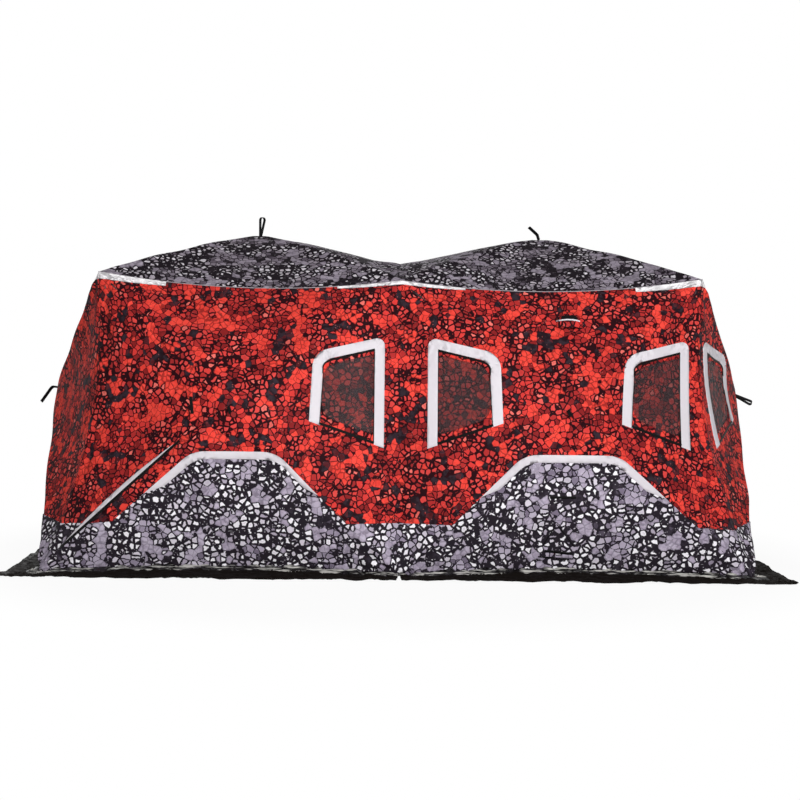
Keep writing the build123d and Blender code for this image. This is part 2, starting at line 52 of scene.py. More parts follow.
# shader helpers
class Link:
    # a socket that takes part in sums
    def __init__(self, paint, socket):
        self.paint = paint
        self.socket = socket

    def sum(self, operation, first, second):
        return self.paint.node("ShaderNodeMath", {"operation": operation}, {
            0: first, 1: second})

    def __add__(self, other): return self.sum("ADD", self, other)
    def __radd__(self, other): return self.sum("ADD", other, self)
    def __sub__(self, other): return self.sum("SUBTRACT", self, other)
    def __rsub__(self, other): return self.sum("SUBTRACT", other, self)
    def __mul__(self, other): return self.sum("MULTIPLY", self, other)
    def __rmul__(self, other): return self.sum("MULTIPLY", other, self)
    def __gt__(self, other): return self.sum("GREATER_THAN", self, other)
    def __lt__(self, other): return self.sum("LESS_THAN", self, other)
    def atLeast(self, other): return self.sum("MAXIMUM", self, other)


class Paint:
    # one material, or the sky, and its nodes
    def __init__(self, name, kind="materials"):
        self.made = getattr(bpy.data, kind).new(name)
        self.made.use_nodes = True
        self.tree = self.made.node_tree
        self.tree.nodes.clear()

    def node(self, kind, settings=None, values=None, out=0):
        made = self.tree.nodes.new(kind)
        for key, value in (settings or {}).items():
            setattr(made, key, value)
        for key, value in (values or {}).items():
            if isinstance(value, Link):
                self.tree.links.new(value.socket, made.inputs[key])
            else:
                made.inputs[key].default_value = value
        return Link(self, made.outputs[out]) if made.outputs else None

    def place(self):
        return self.node("ShaderNodeTexCoord", out="Object")

    def noise(self, where, scale, detail=2.0, rough=0.5, out=0):
        return self.node("ShaderNodeTexNoise", values={
            "Vector": where, "Scale": scale, "Detail": detail, "Roughness": rough}, out=out)

    def cells(self, where, scale, feature="F1", out="Distance", randomness=1.0):
        return self.node("ShaderNodeTexVoronoi", {"feature": feature}, {
            "Vector": where, "Scale": scale, "Randomness": randomness}, out=out)

    def ramp(self, value, low, high):
        return self.node("ShaderNodeMapRange", {"interpolation_type": "SMOOTHSTEP"}, {
            "Value": value, "From Min": low, "From Max": high})

    def mix(self, factor, first, second):
        return self.node("ShaderNodeMix", {"data_type": "RGBA"}, {
            0: factor, 6: first, 7: second}, out=2)

    def bump(self, height, strength, distance):
        return self.node("ShaderNodeBump", values={
            "Height": height, "Strength": strength, "Distance": distance})

    def finish(self, colour, roughness, normal, gloss=0.5, alpha=1.0):
        shader = self.node("ShaderNodeBsdfPrincipled", values={
            "Base Color": colour, "Roughness": roughness, "Normal": normal,
            "Specular IOR Level": gloss, "Alpha": alpha})
        self.node("ShaderNodeOutputMaterial", values={"Surface": shader})
        return self.made


def rgb(red, green, blue):
    # screen values 0 to 255, made linear
    def linear(value):
        value /= 255
        return value / 12.92 if value <= 0.04045 else ((value + 0.055) / 1.055) ** 2.4
    return (linear(red), linear(green), linear(blue), 1.0)


# camouflage cloth: pebbles that gather into patches
patches = {"plain": ((0.0, 0.0, 0.0), 1.0), "dark": ((7.3, 3.1, 5.7), 1.05),
           "middle": ((1.7, 9.4, 2.2), 0.8), "crisp": ((4.9, 2.6, 8.8), 0.6)}
pebbles = {"patchRough": 0.45, "crispBlend": 0.08,
           "dimAbove": 0.5, "deepAbove": 0.72, "paleDimAbove": 0.8,
           "ringFrom": 0.22, "ringTo": 0.42, "ringAbove": 0.55, "ringDepth": 0.35,
           "middleDepth": 0.8, "lineSpread": 0.05, "lineSoft": 0.75,
           "grainFrom": 0.35, "grainTo": 0.65, "darkGrainFrom": 0.4, "darkGrainTo": 0.6,
           "spotAbove": 0.7, "spotDepth": 0.35, "speckDepth": 0.5,
           "wearScale": 2.2, "wearFrom": 0.4, "wearTo": 0.7}


def camoColour(paint, look):
    place = paint.place()
    shake = paint.noise(place, look["shakeScale"], 2.0, out=1)
    wobble = paint.node("ShaderNodeVectorMath", {"operation": "MULTIPLY_ADD"}, {
        0: shake, 1: (look["shake"],) * 3, 2: place})
    cell = paint.cells(wobble, look["cellScale"], out="Position")
    edge = paint.cells(wobble, look["cellScale"], "DISTANCE_TO_EDGE")
    tint = paint.cells(wobble, look["cellScale"], out="Color")
    chance, chance2, chance3 = [
        paint.node("ShaderNodeSeparateColor", values={"Color": tint}, out=i) for i in range(3)]

    def patch(kind):
        shift, scale = patches[kind]
        moved = paint.node("ShaderNodeVectorMath", {"operation": "ADD"}, {0: cell, 1: shift})
        return paint.noise(moved, look["patchScale"] * scale, 2.0, pebbles["patchRough"])

    plain = patch("plain") > look["plainAbove"]
    dark = patch("dark") > look["darkAbove"]
    middle = patch("middle") > look["middleAbove"]
    crisp = paint.ramp(patch("crisp"), look["crispFrom"],
                       look["crispFrom"] + pebbles["crispBlend"])

    # calm ground: close tones with thin cracks between them
    calm = paint.mix(chance > pebbles["dimAbove"], look["calm"], look["calmDim"])
    calm = paint.mix(chance3 > pebbles["deepAbove"], calm, look["calmDeep"])
    # crisp pebbles: paler, with wide dark joints
    pebble = paint.mix(chance2 > look["paleAbove"], look["cell"], look["cellPale"])
    pebble = paint.mix(chance3 > pebbles["paleDimAbove"], pebble, look["cellDim"])
    inner = paint.ramp(edge, pebbles["ringFrom"], pebbles["ringTo"])
    inner = inner * (chance > pebbles["ringAbove"])
    pebble = paint.mix(inner * pebbles["ringDepth"], pebble, look["cellDim"])
    colour = paint.mix(crisp, calm, pebble)
    colour = paint.mix(middle * pebbles["middleDepth"], colour, look["middle"])
    grain = paint.noise(place, look["grainScale"], 3.0, 0.6)
    plainColour = paint.mix(paint.ramp(grain, pebbles["grainFrom"], pebbles["grainTo"]),
                            look["plain"], look["plainDim"])
    colour = paint.mix(plain, colour, plainColour)
    # dark joints between the pebbles, fainter on the plain patches
    width = look["line"] + look["lineMore"] * crisp + pebbles["lineSpread"] * chance2
    width = width * (1.0 - plain * look["plainThin"])
    line = 1.0 - paint.ramp(edge, width * pebbles["lineSoft"], width)
    line = line * (1.0 - plain * look["plainFaint"])
    colour = paint.mix(line, colour, look["lineColour"])
    darkColour = paint.mix(paint.ramp(grain, pebbles["darkGrainFrom"], pebbles["darkGrainTo"]),
                           look["dark"], look["darkDim"])
    spot = (chance > pebbles["spotAbove"]) * (1.0 - line)
    darkColour = paint.mix(spot * pebbles["spotDepth"], darkColour, look["middle"])
    colour = paint.mix(dark * (1.0 - plain), colour, darkColour)
    fine = paint.cells(place, look["speckScale"])
    fineTint = paint.node("ShaderNodeSeparateColor", values={
        "Color": paint.cells(place, look["speckScale"], out="Color")}, out=0)
    speck = (fine < look["speckSize"]) * (fineTint > look["speckAbove"])
    colour = paint.mix(speck * pebbles["speckDepth"], colour, look["speck"])
    # the print is a little uneven
    wear = paint.ramp(paint.noise(place, pebbles["wearScale"], 2.0),
                      pebbles["wearFrom"], pebbles["wearTo"])
    return paint.mix(wear * look["uneven"], colour, look["lineColour"])


relief = {"softScale": 4.0, "ridgeScale": 11.0, "ridgeTwist": 0.8, "ridge": 0.45,
          "crumpleScale": 38.0, "crumple": 0.1, "weaveScale": 700.0, "weave": 0.015,
          "depth": 0.03, "roughMore": 0.15}


def clothNormal(paint, look):
    # long soft creases, small crumples and the weave
    place = paint.place()
    soft = paint.noise(place, relief["softScale"], 3.0, 0.5)
    ridges = paint.node("ShaderNodeTexNoise", {"noise_dimensions": "3D"}, {
        "Vector": place, "Scale": relief["ridgeScale"], "Detail": 3.0,
        "Distortion": relief["ridgeTwist"]})
    crumple = paint.noise(place, relief["crumpleScale"], 3.0, 0.6)
    weave = paint.noise(place, relief["weaveScale"], 1.0)
    height = (soft + ridges * relief["ridge"] + crumple * relief["crumple"]
              + weave * relief["weave"])
    return paint.bump(height, look["bump"], relief["depth"]), crumple


def camoCloth(name, look):
    paint = Paint(name)
    colour = camoColour(paint, look)
    normal, crumple = clothNormal(paint, look)
    return paint.finish(colour, look["roughness"] + relief["roughMore"] * crumple, normal,
                        gloss=look["gloss"])


redLook = {
    "cellScale": 31.0, "shakeScale": 48.0, "shake": 0.014, "patchScale": 10.5, "grainScale": 28.0,
    "plainAbove": 0.580, "darkAbove": 0.615, "middleAbove": 0.63, "crispFrom": 0.46,
    "paleAbove": 0.80, "uneven": 0.16,
    "cell": rgb(220, 72, 68), "cellDim": rgb(162, 46, 46), "cellPale": rgb(244, 118, 108),
    "calm": rgb(214, 60, 56), "calmDim": rgb(176, 48, 47), "calmDeep": rgb(136, 36, 37),
    "plain": rgb(248, 78, 66), "plainDim": rgb(226, 64, 55), "middle": rgb(128, 34, 35),
    "line": 0.070, "lineMore": 0.09, "lineColour": rgb(38, 12, 18),
    "plainThin": 0.4, "plainFaint": 0.45,
    "dark": rgb(52, 42, 50), "darkDim": rgb(34, 22, 28),
    "speckScale": 85.0, "speckSize": 0.28, "speckAbove": 0.88, "speck": rgb(206, 110, 104),
    "roughness": 0.5, "bump": 0.6, "gloss": 0.035}
greyLook = {
    "cellScale": 28.0, "shakeScale": 48.0, "shake": 0.014, "patchScale": 9.5, "grainScale": 28.0,
    "plainAbove": 0.585, "darkAbove": 0.64, "middleAbove": 0.65, "crispFrom": 0.37,
    "paleAbove": 0.30, "uneven": 0.06,
    "cell": rgb(214, 207, 218), "cellDim": rgb(176, 166, 182), "cellPale": rgb(246, 243, 249),
    "calm": rgb(176, 166, 184), "calmDim": rgb(150, 140, 158), "calmDeep": rgb(120, 110, 128),
    "plain": rgb(190, 180, 198), "plainDim": rgb(162, 151, 170), "middle": rgb(116, 106, 124),
    "line": 0.07, "lineMore": 0.12, "lineColour": rgb(38, 33, 40),
    "plainThin": 0.35, "plainFaint": 0.65,
    "dark": rgb(54, 48, 57), "darkDim": rgb(38, 33, 40),
    "speckScale": 85.0, "speckSize": 0.3, "speckAbove": 0.8, "speck": rgb(206, 200, 210),
    "roughness": 0.52, "bump": 0.6, "gloss": 0.035}
# the roof cloth: the grey cloth's print a little changed and rougher, with every colour set
# darker than the grey cloth's: painted shade on the roof
roofLookPaintedShade = dict(greyLook, **{
    "cell": rgb(204, 195, 204), "cellDim": rgb(164, 154, 164), "cellPale": rgb(240, 234, 242),
    "calm": rgb(164, 154, 166), "calmDim": rgb(136, 126, 138), "calmDeep": rgb(106, 96, 108),
    "plain": rgb(176, 166, 180), "plainDim": rgb(150, 140, 154), "middle": rgb(100, 90, 102),
    "cellScale": 30.0, "crispFrom": 0.44, "darkAbove": 0.595, "lineMore": 0.16,
    "lineColour": rgb(28, 22, 28), "dark": rgb(42, 35, 42), "darkDim": rgb(26, 21, 26),
    "speck": rgb(170, 162, 170), "roughness": 0.7, "gloss": 0.04})
redCloth = camoCloth("redCamoCloth", redLook)
greyCloth = camoCloth("greyCamoCloth", greyLook)
roofClothPaintedShade = camoCloth("roofCamoClothPaintedShade", roofLookPaintedShade)


def plainPaint(name, colour, roughness, bump=0.15, scale=60.0, uneven=0.2, **more):
    paint = Paint(name)
    grain = paint.noise(paint.place(), scale, 3.0)
    normal = paint.bump(grain, bump, 0.004)
    tone = paint.mix(grain, [c * (1 - uneven) for c in colour[:3]] + [1.0], colour)
    return paint.finish(tone, roughness + 0.1 * grain, normal, **more)


# pale is the lining's own tone; dark is painted shade towards the seams between the puffs
liningSet = {"scale": 9.0, "shadeTo": 0.6, "pale": rgb(58, 58, 62), "dark": rgb(40, 40, 44),
             "roughness": 0.6, "bump": 0.5, "depth": 0.01}


def liningPaint():
    # the inside: dark padded lining, each puff painted darker towards its seams as painted shade
    paint = Paint("quiltedLining")
    puff = paint.cells(paint.place(), liningSet["scale"])
    tone = paint.mix(paint.ramp(puff, 0.0, liningSet["shadeTo"]),
                     liningSet["pale"], liningSet["dark"])
    return paint.finish(tone, liningSet["roughness"],
                        paint.bump(puff, liningSet["bump"], liningSet["depth"]))


weaveSet = {"spread": 0.35, "shadeFrom": 0.1, "shadeTo": 0.6, "shade": 0.45,
            "bump": 0.6, "depth": 0.0012, "gloss": 0.08}


def weavePaint(name, colour, roughness, scale):
    # ribbed webbing, zip chain and insect mesh
    paint = Paint(name)
    ribs = paint.cells(paint.place(), scale, randomness=weaveSet["spread"])
    tone = paint.mix(paint.ramp(ribs, weaveSet["shadeFrom"], weaveSet["shadeTo"]), colour,
                     [c * weaveSet["shade"] for c in colour[:3]] + [1.0])
    return paint.finish(tone, roughness, paint.bump(ribs, weaveSet["bump"], weaveSet["depth"]),
                        gloss=weaveSet["gloss"])


# the pale colour of the streaks is painted highlight
streakSet = {"stretch": (7.0, 7.0, 95.0), "from": 0.49, "to": 0.59, "share": 0.9,
             "dark": rgb(20, 18, 18), "paintedHighlight": rgb(212, 210, 204),
             "roughness": 0.2, "bump": 0.7, "depth": 0.006}


def highlightPaintedSheet():
    # the turned-up edge of the film: black, with painted highlights as pale streaks along its
    # crinkles
    paint = Paint("highlightPaintedSheet")
    along = paint.node("ShaderNodeVectorMath", {"operation": "MULTIPLY"}, {
        0: paint.place(), 1: streakSet["stretch"]})
    streaks = paint.noise(along, 1.0, 3.0, 0.6)
    # pale streaks mixed into the colour: painted highlights
    paintedHighlight = paint.ramp(streaks, streakSet["from"], streakSet["to"]) * streakSet["share"]
    tone = paint.mix(paintedHighlight, streakSet["dark"], streakSet["paintedHighlight"])
    return paint.finish(tone, streakSet["roughness"],
                        paint.bump(streaks, streakSet["bump"], streakSet["depth"]))


paleTape = plainPaint("paleTape", rgb(218, 213, 219), 0.5,
                      bump=0.3, scale=45.0, uneven=0.07, gloss=0.3)
whiteTape = plainPaint("whiteTape", rgb(250, 247, 250), 0.5,
                       bump=0.1, scale=45.0, uneven=0.04, gloss=0.3)
piping = plainPaint("greyPiping", rgb(160, 154, 160), 0.5)
blackSheet = plainPaint("blackSheet", rgb(24, 20, 18), 0.6, bump=0.7, scale=9.0, gloss=0.03)
glossyHighlightPaintedSheet = highlightPaintedSheet()
blackZip = weavePaint("blackZip", rgb(12, 11, 12), 0.5, 260.0)
nylon = plainPaint("blackNylon", rgb(20, 20, 22), 0.4, gloss=0.2)
webbing = weavePaint("blackWebbing", rgb(20, 20, 22), 0.6, 380.0)
glassFibre = plainPaint("glassFibre", rgb(30, 30, 32), 0.35)
tintFilm = plainPaint("tintFilm", rgb(80, 66, 68), 0.35,
                      bump=0.1, scale=3.0, gloss=0.12, alpha=0.3)
meshCloth = weavePaint("insectMesh", rgb(14, 14, 16), 0.7, 300.0)
lining = liningPaint()
print("materials made")

bySlot = {
    "red_cloth": redCloth, "grey_cloth": greyCloth, "roof_cloth": roofClothPaintedShade,
    "black_sheet": blackSheet, "window_film": tintFilm, "pale_tape": paleTape, "zip": blackZip,
    "hood_cloth": greyCloth, "mesh": meshCloth, "hub_plastic": nylon, "pole": glassFibre,
    "webbing": webbing}
slotOf = {part["node"]: part["material_slot"] for part in frame["record"]["subparts"]}
for name, slot in slotOf.items():
    mesh = nodes[name].data
    mesh.materials.clear()
    mesh.materials.append(bySlot[slot])

# the form of the cloth
hut = {"footX": 2.10, "footY": 1.05, "headX": 1.81, "headY": 0.79, "headZ": 1.775,
       "middleZ": 1.745, "cornerBow": 0.108, "hemLift": 0.028, "eaveBow": 0.02,
       "eaveDrop": 0.07, "eaveSeam": 0.02}


def step(value, low, high):
    t = np.clip((value - low) / (high - low), 0.0, 1.0)
    return t * t * (3 - 2 * t)


sines = {"turn": 2.4, "shortest": 0.6, "spread": 0.9, "stride": 0.618, "phase": 5.1}


def rumple(points, waves, waveLength):
    # soft waves from a few fixed sines, the same on every layer of a panel
    total = np.zeros(len(points))
    for i in range(waves):
        turn = sines["turn"] * i
        size = waveLength * (sines["shortest"] + sines["spread"] * ((i * sines["stride"]) % 1.0))
        across = points[:, 0] * math.cos(turn) + points[:, 1] * math.sin(turn)
        total += np.sin(2 * math.pi * across / size + sines["phase"] * i)
    return total / math.sqrt(waves)


creases = {"wave": 0.0050, "waves": 9, "waveLength": 0.50, "fold": 0.017, "foldCount": 15.0,
           "foldReach": 0.26, "foldFrom": 0.02, "foldTo": 0.12, "pucker": 0.0026,
           "puckerLength": 0.075, "puckerReach": 0.07, "bunch": 0.008, "bunchLength": 0.062,
           "bunchDrop": 0.10, "bunchSide": 0.16, "gather": 0.006, "gatherLength": 0.15,
           "gatherReach": 0.13, "edge": 0.05, "hemFrom": -0.02, "hemTo": 0.06,
           "foldSway": 2.0, "foldSways": 3, "gatherSway": 1.5, "gatherSways": 9.0,
           "panelShift": 3.7, "noMiddle": 9.0}


def corneredFolds(across, up, spot):
    # folds that fan out of a corner of a panel
    dx, dz = across - spot[0], up - spot[1]
    reach = np.hypot(dx, dz)
    turn = np.arctan2(dz, dx)
    fan = np.sin(creases["foldCount"] * turn
                 + creases["foldSway"] * np.sin(creases["foldSways"] * turn))
    near = step(reach, creases["foldFrom"], creases["foldTo"])
    return fan * near * np.exp(-reach / creases["foldReach"])


def crease(points):
    # how far each point of a wall's cloth moves, straight out of its wall
    x, y, z = points.T
    t = np.clip(z / hut["headZ"], 0, 1)
    halfX = hut["footX"] + (hut["headX"] - hut["footX"]) * t
    halfY = hut["footY"] + (hut["headY"] - hut["footY"]) * t
    bow = hut["cornerBow"] * 4 * t * (1 - t)
    isEnd = halfX - np.abs(x) < halfY - np.abs(y)
    across = np.where(isEnd, y, np.abs(x))
    half = np.where(isEnd, halfY, halfX)
    side = np.where(isEnd, 10 * np.sign(x), np.sign(y) * 3 + np.sign(x))
    fromCorner = half - bow - np.abs(across)
    fromMiddle = np.where(isEnd, creases["noMiddle"], np.abs(x))
    share = np.clip(np.abs(across) / half, 0, 1)
    share = np.where(isEnd, share, 2 * np.abs(share - 0.5))
    fromHem = z - hut["hemLift"] * (1 - share ** 2)
    fromEave = hut["headZ"] - hut["eaveSeam"] - hut["eaveDrop"] * (1 - share ** 2) - z
    seam = np.minimum(np.minimum(fromCorner, fromMiddle), fromEave)
    hold = step(seam, 0.0, creases["edge"]) * step(fromHem, creases["hemFrom"], creases["hemTo"])

    flat = np.stack([across + creases["panelShift"] * side, z], axis=1)
    move = creases["wave"] * rumple(flat, creases["waves"], creases["waveLength"])
    for spot in (half, np.where(isEnd, -half, 0.0)):
        for height in (0.0, hut["headZ"]):
            move += creases["fold"] * corneredFolds(across, z, (spot, height))
    pucker = np.sin(2 * math.pi * z / creases["puckerLength"] + side)
    move += creases["pucker"] * pucker * np.exp(-np.maximum(seam, 0) / creases["puckerReach"])
    bunch = np.sin(2 * math.pi * across / creases["bunchLength"])
    move += creases["bunch"] * bunch * (
        np.exp(-np.maximum(fromEave, 0) / creases["bunchDrop"])
        * np.exp(-np.maximum(fromMiddle, 0) / creases["bunchSide"]))
    gather = np.sin(2 * math.pi * across / creases["gatherLength"] + 2.0 * side
                    + creases["gatherSway"] * np.sin(across * creases["gatherSways"]))
    move += creases["gather"] * gather * np.exp(-np.maximum(fromHem, 0) / creases["gatherReach"])
    out = np.where(isEnd[:, None], np.stack([np.sign(x), 0 * x, 0 * x], 1),
                   np.stack([0 * x, np.sign(y), 0 * x], 1))
    return out * (move * hold)[:, None]


roofSet = {"edge": 0.06, "fold": 0.8, "valleyRound": 0.13, "valleyLift": 0.030,
           "valleyFrom": 0.25, "valleyTo": 0.70}


def roofCrease(points):
    # rumples on the roof, and a soft bottom for the valley between the two modules
    x, y, z = points.T
    fromEdge = np.minimum(np.minimum(hut["headY"] - np.abs(y), np.abs(x)),
                          hut["headX"] - np.abs(x))
    hold = step(fromEdge, 0.0, roofSet["edge"])
    flat = np.stack([np.abs(x) + 5 * np.sign(x), y], axis=1)
    move = creases["wave"] * rumple(flat, creases["waves"], creases["waveLength"])
    for spotX in (0.0, hut["headX"]):
        for spotY in (-hut["headY"], hut["headY"]):
            folds = corneredFolds(np.abs(x), y, (spotX, spotY))
            move += roofSet["fold"] * creases["fold"] * folds
    bottom = np.exp(-(x / roofSet["valleyRound"]) ** 2)
    bottom = bottom * (1 - step(np.abs(y), roofSet["valleyFrom"], roofSet["valleyTo"]))
    rise = move * hold + roofSet["valleyLift"] * bottom
    return np.stack([0 * x, 0 * x, rise], 1)


skirtSet = {"hemIn": 0.112, "foldAt": 0.032, "foldWidth": 0.020, "foldLift": 0.020,
            "foldWander": 0.008, "glossTo": 0.072, "rimLift": 0.010, "rimFrom": 0.17,
            "rimTo": 0.2, "waves": 10, "wave": 0.008, "waveLength": 0.22,
            "ripples": 9, "ripple": 0.004, "rippleLength": 0.11,
            "calmFrom": 0.16, "calmShare": 0.4, "holdTo": 0.05,
            "wanderLength": 0.16, "foldEven": 0.9, "foldUneven": 0.35, "foldLength": 0.12,
            "rimLength": 0.9, "pullIn": 0.006, "pullLength": 0.5, "pullFrom": 0.05}


def fromHemLine(x, y):
    # whether a spot is on an end, how far along it, and how far out from the wall's hem
    isEnd = np.abs(x) - hut["footX"] > np.abs(y) - hut["footY"]
    across = np.where(isEnd, y, x)
    away = np.where(isEnd, np.abs(x) - hut["footX"], np.abs(y) - hut["footY"])
    share = np.where(isEnd, np.abs(y) / hut["footY"],
                     2 * np.abs(np.clip(np.abs(x) / hut["footX"], 0, 1) - 0.5))
    return isEnd, across, away + skirtSet["hemIn"] * (1 - np.clip(share, 0, 1) ** 2), away


def skirtCrease(points):
    # film that lies on the ground in crumpled waves, and never under it
    x, y, z = points.T
    isEnd, across, fromHem, away = fromHemLine(x, y)
    flat = np.stack([across, 1.8 * away + 3 * np.sign(x) + 7 * np.sign(y)], axis=1)
    # crumples over the whole width, calmer at the rim
    waves = rumple(flat, skirtSet["waves"], skirtSet["waveLength"])
    ripples = rumple(flat * 1.7 + 1.1, skirtSet["ripples"], skirtSet["rippleLength"])
    lift = np.abs(waves) * skirtSet["wave"] + np.abs(ripples) * skirtSet["ripple"]
    lift = lift * step(fromHem, 0.0, skirtSet["holdTo"]) * (
        1 - skirtSet["calmShare"] * step(away, skirtSet["calmFrom"], skirtSet["rimTo"]))
    # one turned-up fold that wanders along the hem
    line = np.stack([across, 0 * across], 1)
    wander = skirtSet["foldWander"] * rumple(line + 2.0, 5, skirtSet["wanderLength"])
    fold = np.exp(-((fromHem - skirtSet["foldAt"] - wander) / skirtSet["foldWidth"]) ** 2)
    lift = lift + skirtSet["foldLift"] * fold * (
        skirtSet["foldEven"] + skirtSet["foldUneven"] * rumple(line, 7, skirtSet["foldLength"]))
    # the rim lifts here and there and is pulled in a little
    rim = step(away, skirtSet["rimFrom"], skirtSet["rimTo"])
    lift = lift + skirtSet["rimLift"] * rim * np.abs(rumple(line, 4, skirtSet["rimLength"]))
    shift = (skirtSet["pullIn"] * np.abs(rumple(line, 6, skirtSet["pullLength"]))
             * step(away, skirtSet["pullFrom"], skirtSet["rimTo"]))
    move = np.zeros_like(points)
    move[:, 0] = np.where(isEnd, -np.sign(x) * shift, 0)
    move[:, 1] = np.where(isEnd, 0, -np.sign(y) * shift)
    move[:, 2] = np.maximum(lift, 0)
    return move


def onlyActive(piece):
    bpy.ops.object.select_all(action="DESELECT")
    piece.select_set(True)
    bpy.context.view_layer.objects.active = piece


# no edge of the wall cloth, the skirts' film and the roofs is longer than these
meshSet = {"cloth": 0.030, "film": 0.026, "roof": 0.045,
           "merge": 0.00002, "rounds": 6, "smooth": 35}


def copyOf(node, finest):
    # a merged copy of a CAD mesh with no edge longer than the finest length
    piece = bpy.data.objects.new("sewn_" + node, nodes[node].data.copy())
    bpy.context.scene.collection.objects.link(piece)
    onlyActive(piece)
    bpy.ops.object.mode_set(mode="EDIT")
    bpy.ops.mesh.select_mode(type="EDGE")
    bpy.ops.mesh.select_all(action="SELECT")
    bpy.ops.mesh.remove_doubles(threshold=meshSet["merge"])
    for _ in range(meshSet["rounds"]):
        shape = bmesh.from_edit_mesh(piece.data)
        found = 0
        for edge in shape.edges:
            edge.select = edge.calc_length() > finest
            found += edge.select
        shape.select_flush_mode()
        bmesh.update_edit_mesh(piece.data)
        if not found:
            break
        bpy.ops.mesh.subdivide(number_cuts=1)
        bpy.ops.mesh.select_all(action="SELECT")
        bpy.ops.mesh.quads_convert_to_tris(quad_method="SHORTEST_DIAGONAL", ngon_method="CLIP")
    bpy.ops.object.mode_set(mode="OBJECT")
    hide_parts(node)
    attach(piece, "root")
    return piece


def pushed(piece, field):
    mesh = piece.data
    points = np.empty(3 * len(mesh.vertices))
    mesh.vertices.foreach_get("co", points)
    points = points.reshape(-1, 3)
    points = points + field(points)
    mesh.vertices.foreach_set("co", points.ravel())
    mesh.update()
    onlyActive(piece)
    bpy.ops.object.shade_smooth_by_angle(angle=math.radians(meshSet["smooth"]))


def paintFaces(piece, paints, choose):
    # each face gets the material that choose(centres, normals) picks by number
    mesh = piece.data
    mesh.materials.clear()
    for paint in paints:
        mesh.materials.append(paint)
    centres = np.empty(3 * len(mesh.polygons))
    normals = np.empty(3 * len(mesh.polygons))
    mesh.polygons.foreach_get("center", centres)
    mesh.polygons.foreach_get("normal", normals)
    picks = choose(centres.reshape(-1, 3), normals.reshape(-1, 3)).astype(np.int32)
    mesh.polygons.foreach_set("material_index", picks)
    mesh.update()


wallSet = {"under": 0.0010, "underLow": 0.0032, "lowFrom": 0.36, "lowTo": 0.46}


def wallCrease(points):
    # the wall itself lies a little under what is sewn on it
    x, y, z = points.T
    isEnd = hut["headX"] - np.abs(x) < hut["headY"] - np.abs(y)
    low = 1 - step(z, wallSet["lowFrom"], wallSet["lowTo"])
    under = wallSet["under"] + wallSet["underLow"] * low
    inward = np.where(isEnd[:, None], np.stack([-np.sign(x), 0 * x, 0 * x], 1),
                      np.stack([0 * x, -np.sign(y), 0 * x], 1))
    return crease(points) + inward * under[:, None]


dressing = {}
for wall in walls:
    dressing[wall + "_wall"] = (wallCrease, meshSet["cloth"])
    for kind in ("_apron", "_window"):
        dressing[wall + kind] = (crease, meshSet["cloth"])
    dressing[wall + "_skirt"] = (skirtCrease, meshSet["film"])
for node in ("front_door", "back_door", "window_covers", "window_tapes", "apron_tapes",
             "eave_tapes", "door_zips", "door_bindings", "vent_hoods", "vent_meshes"):
    dressing[node] = (crease, meshSet["cloth"])
for node in ("left_roof", "right_roof"):
    dressing[node] = (roofCrease, meshSet["roof"])
pieces = {}
for node, (field, finest) in dressing.items():
    pieces[node] = copyOf(node, finest)
    pushed(pieces[node], field)

pieces["eave_tapes"].data.materials.clear()
pieces["eave_tapes"].data.materials.append(whiteTape)
middle = np.array([0.0, 0.0, 0.9])
colourHeights = {"apron": 0.26, "red": 1.0, "roof": 1.7}


def facesIn(at, normals):
    return ((at - middle) * normals).sum(1) < 0


for wall in walls:
    # lined inside, and grey under the aprons
    paintFaces(pieces[wall + "_wall"], (redCloth, lining, greyCloth),
               lambda at, n: np.where(facesIn(at, n), 1,
                                      2 * (at[:, 2] < colourHeights["apron"])))
    # the film by the hem is glossy and carries the painted highlights
    paintFaces(pieces[wall + "_skirt"], (blackSheet, glossyHighlightPaintedSheet),
               lambda at, n: fromHemLine(at[:, 0], at[:, 1])[2] < skirtSet["glossTo"])
for side in ("left", "right"):
    paintFaces(pieces[side + "_roof"], (roofClothPaintedShade, lining), lambda at, n: n[:, 2] < 0)
for node in ("front_door", "back_door", "window_covers"):
    paintFaces(pieces[node], (redCloth, lining), facesIn)
# the hood: grey cloth low down, red cloth, and above the eaves the roof cloth with its painted
# shade
paintFaces(pieces["vent_hoods"], (greyCloth, redCloth, roofClothPaintedShade),
           lambda at, n: (at[:, 2] > colourHeights["red"]) * 1
           + (at[:, 2] > colourHeights["roof"]) * 1)


# what each sheet was cut to: width, length, area of the cut, how it is held, what carries it
doorWall = (2.10, 1.82, 2.88, "stretched", ["wall_hubs"])
fullWall = (2.10, 1.82, 3.31, "stretched", ["wall_hubs"])
cuts = {"front_left_wall": doorWall, "back_right_wall": doorWall,
        "front_right_wall": fullWall, "back_left_wall": fullWall,
        "end_wall": (2.10, 1.82, 3.24, "stretched", ["wall_hubs"]),
        "_apron": (2.10, 0.70, 1.02, "stretched", []),
        "_skirt": (2.40, 0.35, 0.77, "laid", []),
        "end_skirt": (2.60, 0.35, 0.83, "laid", []),
        "_roof": (1.88, 1.67, None, "stretched", ["roof_hubs"]),
        "_door": (1.49, 0.83, 0.58, "hung", ["door_zips"]),
        "window_covers": (3.04, 0.55, None, "stretched", ["window_tapes"])}
for node in dressing:
    ends = [end for end in cuts if node.endswith(end)]
    if ends:
        width, length, area, held, carriers = cuts[max(ends, key=len)]
print("cloth creased,", sum(len(p.data.polygons) for p in pieces.values()), "triangles")

